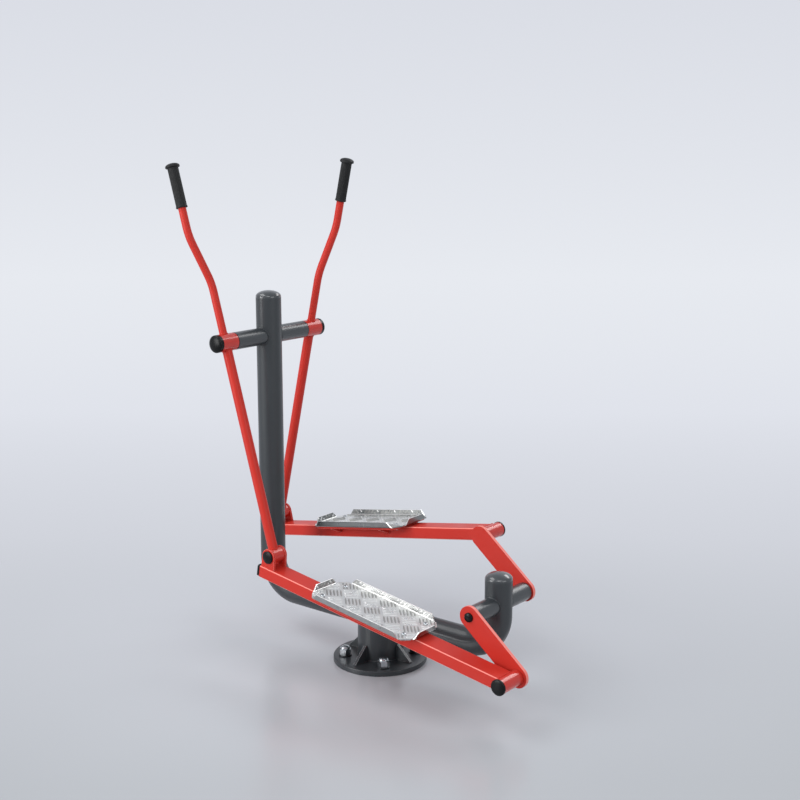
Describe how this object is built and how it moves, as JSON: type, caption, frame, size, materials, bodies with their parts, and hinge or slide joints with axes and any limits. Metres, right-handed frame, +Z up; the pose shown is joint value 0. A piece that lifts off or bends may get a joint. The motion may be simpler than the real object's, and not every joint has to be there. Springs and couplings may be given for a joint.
{
  "type": "outdoor cross trainer",
  "caption": "Outdoor elliptical trainer on a single flanged post: swinging handle levers, pedal beams with chequer foot plates and a rear crank.",
  "frame": {"origin": "centre of the base flange's underside, where it meets the foundation", "axes": "+X from the handle column towards the crank, +Y to the rider's right, +Z up"},
  "size_m": [1.4021, 0.6258, 1.6829],
  "materials": {
    "frame_coat": "gloss powder coat",
    "red_coat": "gloss powder coat",
    "black_plastic": "satin",
    "grip_rubber": "matt",
    "zinc": "bright zinc plate",
    "steel": "ground",
    "chequer": "bright mill finish"
  },
  "bodies": {
    "frame": {"base_flange": "frame_coat", "flange_ribs": "frame_coat", "pedestal_tube": "frame_coat", "pedestal_cap": "frame_coat", "bottom_tube": "frame_coat", "tube_elbows": "frame_coat", "column_tube": "frame_coat", "rear_post": "frame_coat", "tube_caps": "frame_coat", "handle_axle_tube": "frame_coat", "handle_spindle": "steel", "spindle_nuts": "zinc", "crank_axle_tube": "frame_coat", "crank_bearings": "steel", "anchor_washers": "zinc", "anchor_nuts": "zinc"},
    "lever_left": {"hub_sleeve_left": "red_coat", "hub_bearings_left": "steel", "hub_cap_left": "black_plastic", "lever_tube_left": "red_coat", "handle_tube_left": "red_coat", "grip_left": "grip_rubber", "foot_sleeve_left": "red_coat", "foot_bearings_left": "steel"},
    "beam_left": {"pedal_beam_left": "red_coat", "beam_end_plug_left": "black_plastic", "clevis_ears_left": "red_coat", "clevis_pin_left": "steel", "clevis_caps_left": "black_plastic", "plate_carrier_left": "red_coat", "foot_plate_left": "chequer", "plate_screws_left": "zinc", "rear_bush_left": "red_coat", "rear_bearings_left": "steel", "crank_pin_left": "steel", "rear_bush_cap_left": "black_plastic"},
    "lever_right": {"hub_sleeve_right": "red_coat", "hub_bearings_right": "steel", "hub_cap_right": "black_plastic", "lever_tube_right": "red_coat", "handle_tube_right": "red_coat", "grip_right": "grip_rubber", "foot_sleeve_right": "red_coat", "foot_bearings_right": "steel"},
    "beam_right": {"pedal_beam_right": "red_coat", "beam_end_plug_right": "black_plastic", "clevis_ears_right": "red_coat", "clevis_pin_right": "steel", "clevis_caps_right": "black_plastic", "plate_carrier_right": "red_coat", "foot_plate_right": "chequer", "plate_screws_right": "zinc", "rear_bush_right": "red_coat", "rear_bearings_right": "steel", "crank_pin_right": "steel", "rear_bush_cap_right": "black_plastic"},
    "crank": {"crank_axle": "steel", "crank_arms": "red_coat", "crank_axle_caps": "black_plastic", "crank_pin_roots": "steel"}
  },
  "joints": [
    {"name": "lever_left_swing", "type": "hinge", "parent": "frame", "child": "lever_left", "pos_m": [-0.5, 0, 1.075], "axis": [0, 1, 0], "range_deg": [0, 34.14]},
    {"name": "lever_right_swing", "type": "hinge", "parent": "frame", "child": "lever_right", "pos_m": [-0.5, 0, 1.075], "axis": [0, 1, 0], "range_deg": [-32.34, 4.67]},
    {"name": "beam_left_pivot", "type": "hinge", "parent": "lever_left", "child": "beam_left", "pos_m": [-0.28816, -0.212, 0.36597], "axis": [0, 1, 0], "range_deg": [-47.8, 0.02]},
    {"name": "beam_right_pivot", "type": "hinge", "parent": "lever_right", "child": "beam_right", "pos_m": [-0.66447, 0.212, 0.35351], "axis": [0, 1, 0], "range_deg": [-0.02, 47.8]},
    {"name": "crank_spin", "type": "hinge", "parent": "frame", "child": "crank", "pos_m": [0.488, 0, 0.311], "axis": [0, 1, 0], "continuous": true}
  ],
  "couplings": [
    {"joint": "crank_spin", "follows": "lever_left_swing", "ratio": 4.1932},
    {"joint": "lever_right_swing", "follows": "lever_left_swing", "ratio": -0.94681},
    {"joint": "beam_left_pivot", "follows": "lever_left_swing", "ratio": -1.2722},
    {"joint": "beam_right_pivot", "follows": "lever_left_swing", "ratio": 1.2635}
  ]
}
